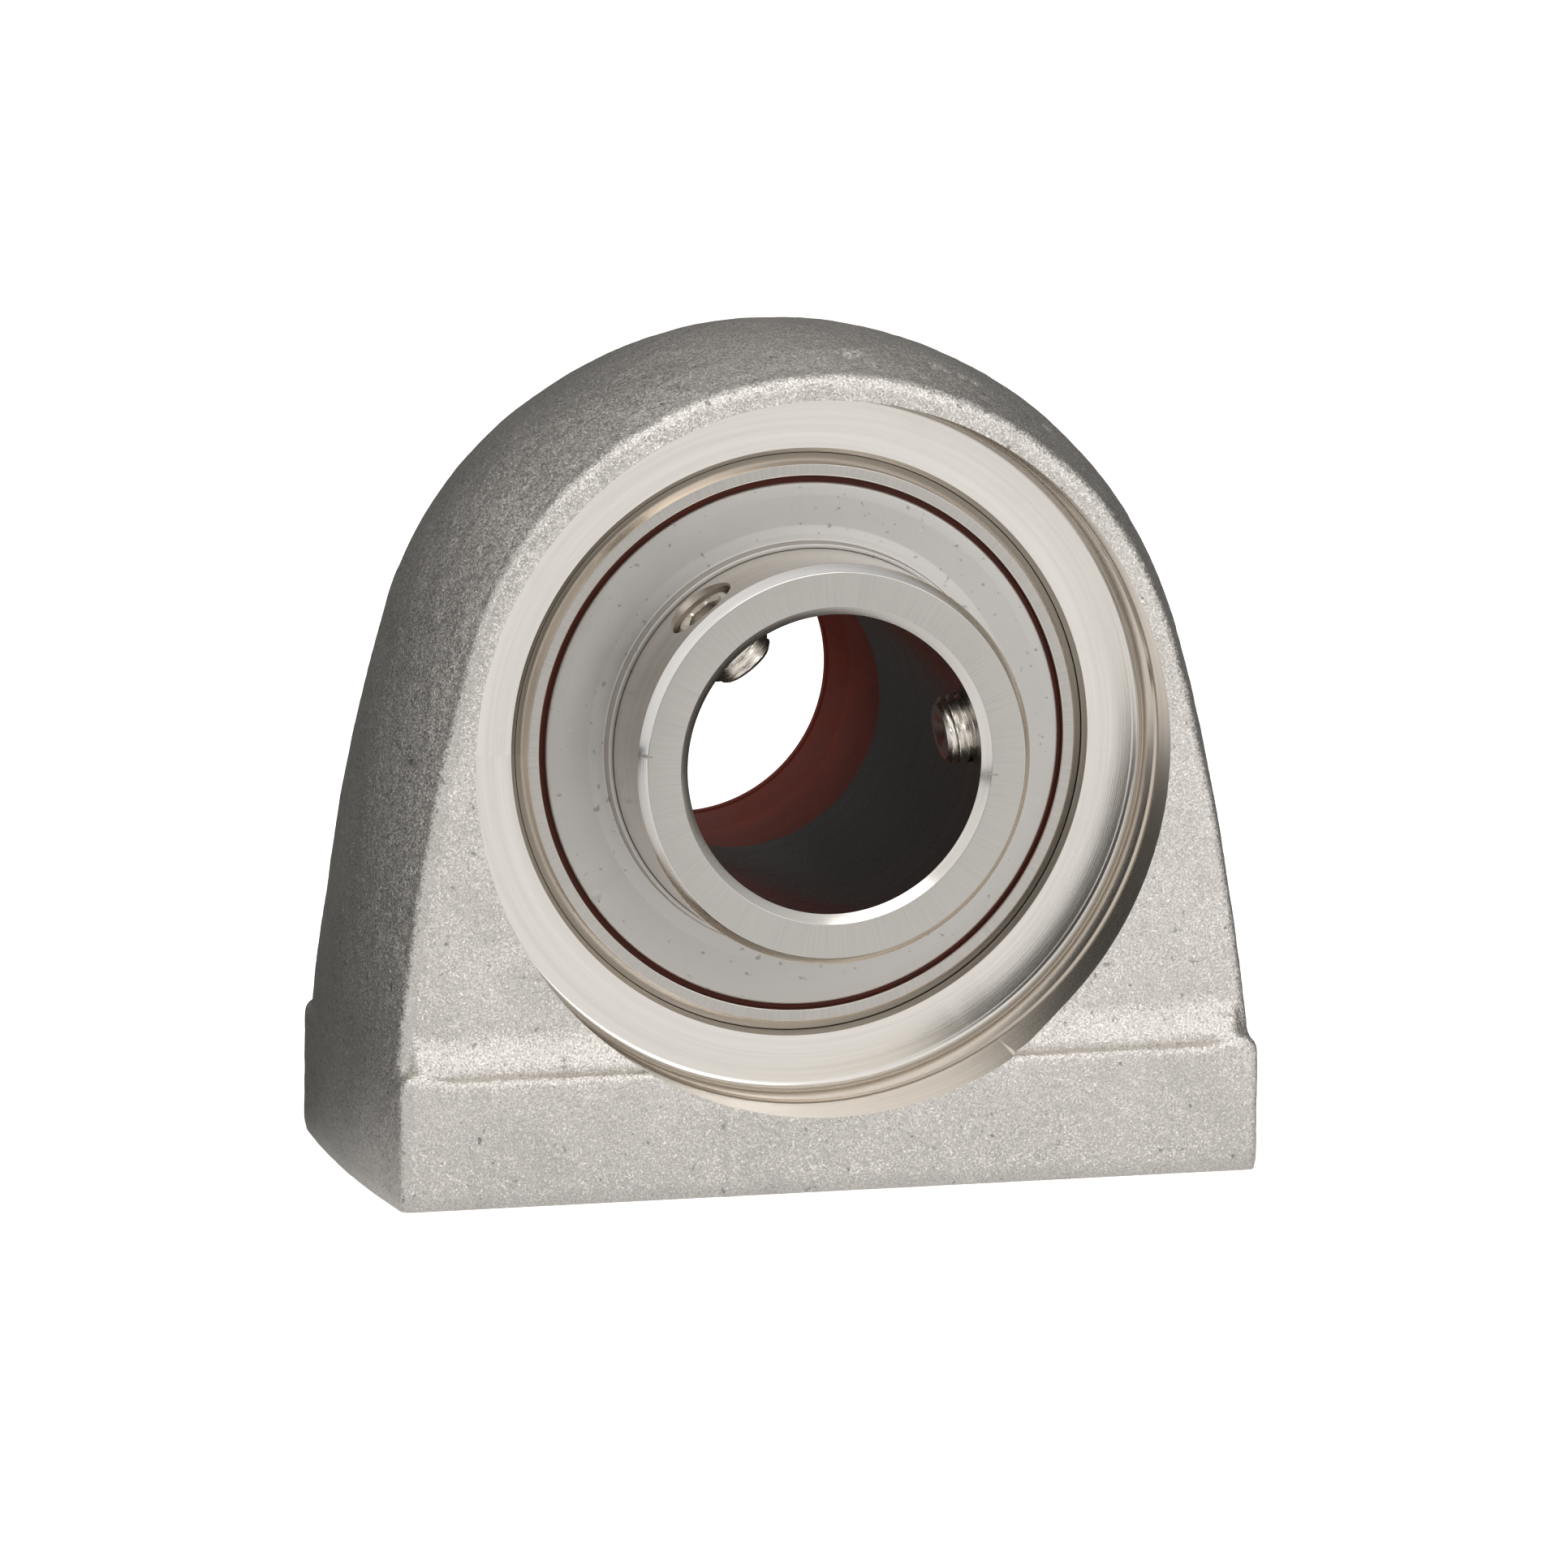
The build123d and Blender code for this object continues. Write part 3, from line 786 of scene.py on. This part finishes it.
screw_y = sum(corner[1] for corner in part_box("set_screw_1")) / 2
screw_radius = (reach("set_screw_1", 1, 1) - reach("set_screw_1", 1, 0)) / 2
screw_hole_radius = screw_radius + 0.05 * MM
screw_hole_countersink = 0.45 * MM
screw_segments = 72
screw_length = 6.0 * MM
screw_top = collar_radius - 0.6 * MM
screw_tip = screw_top - screw_length
thread_pitch = 0.75 * MM
thread_depth = 0.46 * MM
thread_steps = 132
thread_flank, thread_crest = 1.25, 0.12  # the groove's slope and the flat between two grooves
screw_end_drop, screw_end_slope = 0.15 * MM, 1.1  # the chamfer's foot under the core, its slope
socket_half = 1.5 * MM
socket_depth = 2.6 * MM
cup_radius = 1.55 * MM
cup_depth = 0.8 * MM
cup_rim = 0.12 * MM
socket_chamfer, socket_chamfer_depth = 0.36 * MM, 0.2 * MM
socket_land = 0.62 * MM  # from the socket's flats to the thread's chamfer
drilled_depth = 0.7 * MM  # of the cone under the socket
point_radius = 0.02 * MM  # where a ring closes on the screw's axis
mark_width = 0.16 * MM
mark_depth = 0.1 * MM
marks = (  # angle in degrees, from radius, to radius
    (175, collar_radius - 1.0 * MM, collar_radius + 0.2 * MM),
    (-5.5, bore_radius - 0.2 * MM, bore_radius + 1.3 * MM),
)
stake_angle, stake_radius = radians(214), 21.9 * MM
stake_depth, stake_width = 0.32 * MM, 0.42 * MM


def screw_angles():
    """The set screws' angles from +X towards +Z, from their joints' axes."""
    axes = [joints[f"set_screw_{number}_travel"]["axis"] for number in (1, 2)]
    return [atan2(axis[2], axis[0]) for axis in axes]


def screw_hole_cutter(angle):
    mouth = screw_hole_radius + screw_hole_countersink
    rings = [
        circle(screw_hole_radius, bore_radius - 3 * MM, 96),
        circle(screw_hole_radius, collar_radius - screw_hole_countersink, 96),
        circle(mouth + screw_hole_countersink, collar_radius + screw_hole_countersink, 96),
    ]
    return ring_stack("hole", rings, facing_out(angle, screw_y))


def radial_mark(angle, inner, outer):
    """A shallow scribed line on the collar's end face, from one radius to another."""
    half = mark_width / 2
    cutter = block("mark", (-half, -half, inner), (half, half, outer))
    cutter.data.transform(facing_out(angle, -collar_front + half - mark_depth))
    return cutter


def build_inner_ring():
    """The long ring with its collar's screw holes and two scribed marks."""
    soft = inner_edge_softness
    front, rear = -collar_front, inner_ring_rear
    centre = pitch_radius - ball_radius - race_clearance + groove_radius
    outline = [
        (front, bore_radius + bore_chamfer_radial, soft),
        (front + bore_chamfer_axial, bore_radius, soft),
        (rear - bore_chamfer_axial, bore_radius, soft),
        (rear, bore_radius + bore_chamfer_radial, soft),
        (rear, collar_radius - collar_chamfer_radial, soft),
        (rear - collar_chamfer_axial, collar_radius, soft),
        *groove_arc(centre, collar_radius, 1),
        (front + collar_chamfer_axial, collar_radius, soft),
        (front, collar_radius - collar_chamfer_radial, soft),
    ]

    def finish_at(y, r):
        if r < bore_radius + TINY:
            return 2
        if y < front + collar_chamfer_axial and r > collar_radius - collar_chamfer_radial:
            return 3
        return 1 if not front + TINY < y < rear - TINY else 0

    # the collar's outer chamfer takes the lighter steel, a painted highlight
    finishes = (RING_STEEL, GROUND_FACE, HONED_BORE, PAINTED_HIGHLIGHT_STEEL)
    ring = lathe("inner_ring_ground", rounded(outline), 360, finishes, finish_at)
    cutters = [screw_hole_cutter(angle) for angle in screw_angles()]
    cutters += [radial_mark(radians(angle), inner, outer) for angle, inner, outer in marks]
    # the screw holes and scribed marks take the darker steel, painted shade in their hollows
    for cutter in cutters:
        cutter.data.materials.append(PAINTED_SHADE_STEEL)
    cut(ring, cutters)
    shade(ring.data, 25)
    return ring


def build_flinger(side):
    """The sheet disc on one side: dished, with a rounded rim and a neck rolled over at its end."""
    dish = 0.5 * MM
    hub = collar_radius + 0.01 * MM
    neck = collar_radius + 0.43 * MM
    back = flinger_back
    face = back + 0.6 * MM
    outline = [
        (back, flinger_radius, 0.18 * MM),
        (face, flinger_radius, 0.25 * MM),
        (face + 0.10 * MM, flinger_radius - 1.1 * MM, 0.9 * MM),
        (face + 0.16 * MM, neck + 1.3 * MM, 1.0 * MM),
        (face + 0.30 * MM, neck + 0.55 * MM, 0.4 * MM),
        (face + dish - 0.12 * MM, neck - 0.05 * MM, 0.2 * MM),
        (flinger_neck_end, neck, 0.2 * MM),
        (flinger_neck_end, hub, 0.1 * MM),
        (back + dish, hub),
        (back + dish, neck + 0.9 * MM, 0.4 * MM),
    ]
    outline = [(side * corner[0], *corner[1:]) for corner in outline]
    name = "front_flinger_disc" if side < 0 else "rear_flinger_disc"
    return lathe(name, rounded(outline), 720, (SHEET,))


def stake(flinger):
    """A small punch mark in the flinger's rim, with a raised lip round it."""
    x, z = stake_radius * cos(stake_angle), shaft_height + stake_radius * sin(stake_angle)
    centre = Vector((x, 0, z))
    for vertex in flinger.data.vertices:
        aside = sqrt((vertex.co.x - centre.x) ** 2 + (vertex.co.z - centre.z) ** 2) / stake_width
        if aside < 3:
            vertex.co.y += stake_depth * (1 - aside**2) * np.exp(-(aside**2))
    flinger.data.update()


def thread_ring(z):
    """The screw's outline at a height, with the thread's groove and the ends' chamfers."""
    ring = []
    for i in range(screw_segments):
        share = i / screw_segments
        phase = (z / thread_pitch - share) % 1
        groove = min(1, max(0, abs(phase - 0.5) * 2 * thread_flank - thread_crest))
        from_end = min(z - screw_tip, screw_top - z)
        chamfer = screw_radius - thread_depth - screw_end_drop + from_end * screw_end_slope
        radius = min(screw_radius - thread_depth * groove, chamfer)
        turn = 2 * pi * share
        ring.append((radius * cos(turn), radius * sin(turn), z))
    return ring


def hexagon(z, half):
    """A ring in the form of a hexagon with half its width across flats."""
    ring = []
    for i in range(screw_segments):
        turn = 2 * pi * i / screw_segments
        folded = (turn + pi / 6) % (pi / 3) - pi / 6
        radius = half / cos(folded)
        ring.append((radius * cos(turn), radius * sin(turn), z))
    return ring


def build_set_screw(number, angle):
    """Grub screw, 6 mm long: rolled thread, hexagon socket and a cup that bites the shaft."""
    count = screw_segments
    heights = [screw_tip + screw_length * i / thread_steps for i in range(thread_steps + 1)]
    rings = [
        circle(point_radius, screw_tip + cup_depth, count),
        circle(cup_radius, screw_tip, count),
        circle(cup_radius + cup_rim, screw_tip, count),
        *[thread_ring(z) for z in heights],
        circle(socket_half + socket_land, screw_top, count),
        circle(socket_half + socket_chamfer, screw_top, count),
        hexagon(screw_top - socket_chamfer_depth, socket_half),
        hexagon(screw_top - socket_depth, socket_half),
        circle(point_radius, screw_top - socket_depth - drilled_depth, count),
    ]
    screw = ring_stack(f"set_screw_{number}_threaded", rings, facing_out(angle, screw_y))
    screw.data.materials.append(SCREW_STEEL)
    return screw


outer_ring = build_outer_ring()
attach(outer_ring, "outer_race")
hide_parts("outer_ring")

inner_ring = build_inner_ring()
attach(inner_ring, "inner_race")
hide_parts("inner_ring")

for side, node in ((-1, "front_flinger"), (1, "rear_flinger")):
    flinger = build_flinger(side)
    if side < 0:
        stake(flinger)
    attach(flinger, "inner_race")
    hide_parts(node)

for number, angle in enumerate(screw_angles(), 1):
    screw = build_set_screw(number, angle)
    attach(screw, f"set_screw_{number}")
    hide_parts(f"set_screw_{number}")


# ---------------------------------------------------------------- end cover and its seal
cover_wall = 1.8 * MM
cover_hole_radius = bore_radius + 2.7 * MM
cover_face_recess = 0.25 * MM  # of the face round the hole, where the seal's flange lies


def build_end_cover():
    """Moulded cup with a rounded shoulder and a rim that the seal grips."""
    shoulder = 7.5 * MM
    hole = cover_hole_radius
    bead = cover_shoulder_offset + 0.3 * MM
    skirt = recess_radius - 0.1 * MM
    outline = [
        (cover_start, skirt - 1.3 * MM, 0.2 * MM),
        (cover_start + 1.3 * MM, skirt, 0.2 * MM),
        (bead, skirt),
        (bead + 0.1 * MM, cover_radius, 0.06 * MM),
        (cover_end, cover_radius, shoulder),
        (cover_end, hole + 2.6 * MM),
        (cover_end - cover_face_recess, hole + 2.2 * MM, 0.15 * MM),
        (cover_end - cover_face_recess, hole),
        (cover_end - cover_wall, hole),
        (cover_end - cover_wall, skirt - cover_wall, shoulder - cover_wall),
        (cover_start, skirt - cover_wall, 0.2 * MM),
    ]
    return lathe("end_cover_cup", rounded(outline, 16), 360, (COVER_BLACK,))


def build_cover_seal():
    """Silicone ring: two flanges on the cover's rim, a sleeve and a ridged lip to the shaft."""
    sleeve = bore_radius + 1.5 * MM
    groove = cover_hole_radius
    flange = cover_seal_radius
    inside = cover_end - cover_wall
    outside = cover_end - cover_face_recess
    bulge = cover_end + 1.1 * MM
    tip = cover_seal_end
    lip = bore_radius + 0.1 * MM
    soft = 0.2 * MM
    outline = [
        (cover_seal_start, sleeve, soft),
        (cover_seal_start, groove, soft),
        (inside - 1.1 * MM, groove, soft),
        (inside - 1.1 * MM, flange, 0.3 * MM),
        (inside, flange, soft),
        (inside, groove),
        (outside, groove),
        (outside, flange - 0.1 * MM, 0.1 * MM),
        (bulge, flange - 0.3 * MM, 0.45 * MM),
        (bulge, groove - 0.1 * MM, 0.4 * MM),
        (tip - 0.9 * MM, lip + 0.75 * MM, soft),
        (tip, lip + 0.5 * MM, soft),
        (tip, lip, 0.15 * MM),
        (tip - 0.6 * MM, lip + 0.1 * MM, 0.1 * MM),
        (tip - 0.8 * MM, lip + 0.32 * MM, 0.1 * MM),
        (tip - 1.1 * MM, lip + 0.24 * MM, 0.1 * MM),
        (cover_end, sleeve, 0.8 * MM),
    ]
    return lathe("end_cover_lip_seal", rounded(outline), 360, (SILICONE_RED,))


end_cover = build_end_cover()
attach(end_cover, "end_cover")
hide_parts("end_cover")
cover_seal = build_cover_seal()
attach(cover_seal, "end_cover")
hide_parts("end_cover_seal")

# ---------------------------------------------------------------- inner pieces keep their solids
inner_finishes = {
    "front_seal_insert": CAGE_STEEL,
    "rear_seal_insert": CAGE_STEEL,
    "front_seal_lip": SEAL_RED,
    "rear_seal_lip": SEAL_RED,
    "cage_front": CAGE_STEEL,
    "cage_rear": CAGE_STEEL,
    "cage_rivets": CAGE_STEEL,
}
for name, node in frame["nodes"].items():
    if name in inner_finishes or name.startswith("ball_"):
        node.data.materials.clear()
        node.data.materials.append(inner_finishes.get(name, BALL_STEEL))


# ---------------------------------------------------------------- floor, light and camera
room_even = 0.42  # the soft room's middle level
room_slope = Vector((-0.20, -0.62, 0.30))  # how it grows towards the left, the front and the top
room_darkest = 0.04
dark_gap = Vector((-0.28, -0.95, 0.08)).normalized()  # the unlit gap in the room's front
dark_gap_edge = (cos(radians(24)), cos(radians(19)))
diffuse_share = 0.8  # of the room's level, on what is no metal
diffuse_least = 0.4  # plastic and rubber are lit from the back too
floor_size, floor_bottom, floor_top = 6.0, -0.02, -0.02 * MM
floor_fade = (-0.042, 0.028, 0.95, 0.04)  # from y to y, what metal sees of the floor's light
table_front = (-0.21, -0.19, 0.05, 1.0)  # the same before the table's front edge, in y ...
table_left = (-0.03, 0.03, 0.05, 1.0)  # ... which ends at the left, in x
floor_glow = 0.85
paper_white = (0.9, 0.9, 0.9, 1)
floor_for_diffuse = (0.35, 0.35, 0.35, 1)
lamps = (  # name, place, size, watts
    ("key", (0.6, -0.9, 0.5), (0.5, 0.5), 1.5),
    ("top", (-0.1, -0.45, 0.9), (0.8, 0.4), 1.6),
    ("back", (0.3, 0.75, 0.75), (0.6, 0.4), 0.25),
)


def studio_world():
    """White where the camera looks; metal sees a white room that fades towards the back."""
    world = bpy.data.worlds.new("studio")
    bpy.context.scene.world = world
    world.use_nodes = True
    s = Nodes(world.node_tree)
    camera, seen = s.ray_kinds()
    direction = s.node("TexCoord").outputs["Generated"]
    slope = s.vector("DOT_PRODUCT", direction, room_slope)["Value"]
    towards_gap = s.vector("DOT_PRODUCT", direction, dark_gap)["Value"]
    gap = s.spread(towards_gap, *dark_gap_edge, 1.0, 0.0)
    level = s.math("MULTIPLY", s.math("ADD", slope, room_even), gap)
    level = s.math("MINIMUM", s.math("MAXIMUM", level, room_darkest), 1.0)
    strength = s.math("MAXIMUM", level, camera)
    backdrop = s.node("Background", {"Color": WHITE, "Strength": strength}).outputs[0]
    softened = s.math("MAXIMUM", s.math("MULTIPLY", level, diffuse_share), diffuse_least)
    soft = s.tree.nodes["Background"]
    soft.inputs["Color"].default_value = WHITE
    s.tree.links.new(softened, soft.inputs["Strength"])
    shown = s.mix_shaders(seen, soft.outputs[0], backdrop)
    s.tree.links.new(shown, s.tree.nodes["World Output"].inputs["Surface"])


def studio_floor():
    """White paper: the camera sees it lit and shadowed, metal sees it fade backwards."""
    low = (-floor_size, -floor_size, floor_bottom)
    floor = block("floor", low, (floor_size, floor_size, floor_top))
    material = bpy.data.materials.new("pale_floor")
    material.use_nodes = True
    s = Nodes(material.node_tree)
    s.tree.nodes.remove(s.tree.nodes["Principled BSDF"])
    camera, seen = s.ray_kinds()
    place = s.node("SeparateXYZ", {0: s.node("NewGeometry").outputs["Position"]}).outputs
    before_edge = s.spread(place["Y"], *table_front)
    right_of_gap = s.spread(place["X"], *table_left)
    table = s.math("MAXIMUM", before_edge, right_of_gap)
    reflection = s.math("MULTIPLY", s.spread(place["Y"], *floor_fade), table)
    paper = s.node("BsdfDiffuse", {"Color": paper_white}).outputs[0]
    glow = s.node("Emission", {"Strength": floor_glow}).outputs[0]
    lit = s.node("AddShader", {0: paper, 1: glow}).outputs[0]
    reflected = s.node("Emission", {"Strength": reflection}).outputs[0]
    soft = s.node("BsdfDiffuse", {"Color": floor_for_diffuse}).outputs[0]
    surface = s.mix_shaders(seen, soft, s.mix_shaders(camera, reflected, lit))
    s.tree.links.new(surface, s.tree.nodes["Material Output"].inputs["Surface"])
    floor.data.materials.append(material)


def area_light(name, place, size, power):
    """A soft rectangular lamp that looks at the shaft's middle."""
    data = bpy.data.lights.new(name, "AREA")
    data.shape = "RECTANGLE"
    data.size, data.size_y = size
    data.energy = power
    lamp = bpy.data.objects.new(name, data)
    bpy.context.scene.collection.objects.link(lamp)
    lamp.location = place
    aim = Vector((0, 0, shaft_height)) - Vector(place)
    lamp.rotation_euler = aim.to_track_quat("-Z", "Y").to_euler()


def photo_camera():
    """The photograph's viewpoint, fitted to the rings, the recess and the base."""
    picture = 1932.0
    focal_pixels = 15533.6
    azimuth, elevation, roll = radians(-14.782), radians(9.956), radians(0.129)
    distance = 1072.69 * MM
    aside, above = 0.615 * MM, -4.836 * MM
    level = cos(elevation)
    outward = Vector((sin(azimuth) * level, -cos(azimuth) * level, sin(elevation)))
    right = Vector((cos(azimuth), sin(azimuth), 0))
    up = right.cross(-outward)
    target = Vector((0, 0, shaft_height)) + right * aside + up * above
    data = bpy.data.cameras.new("camera")
    data.sensor_width = 36.0
    data.lens = focal_pixels / picture * data.sensor_width
    data.clip_start, data.clip_end = 0.05, 50.0
    camera = bpy.data.objects.new("camera", data)
    bpy.context.scene.collection.objects.link(camera)
    camera.location = target + outward * distance
    turn = Matrix((right, up, outward)).transposed()
    camera.rotation_euler = (turn @ Matrix.Rotation(roll, 3, "Z")).to_euler()
    bpy.context.scene.camera = camera


studio_world()
studio_floor()
for lamp in lamps:
    area_light(*lamp)
photo_camera()
bpy.context.scene.view_settings.view_transform = "Standard"
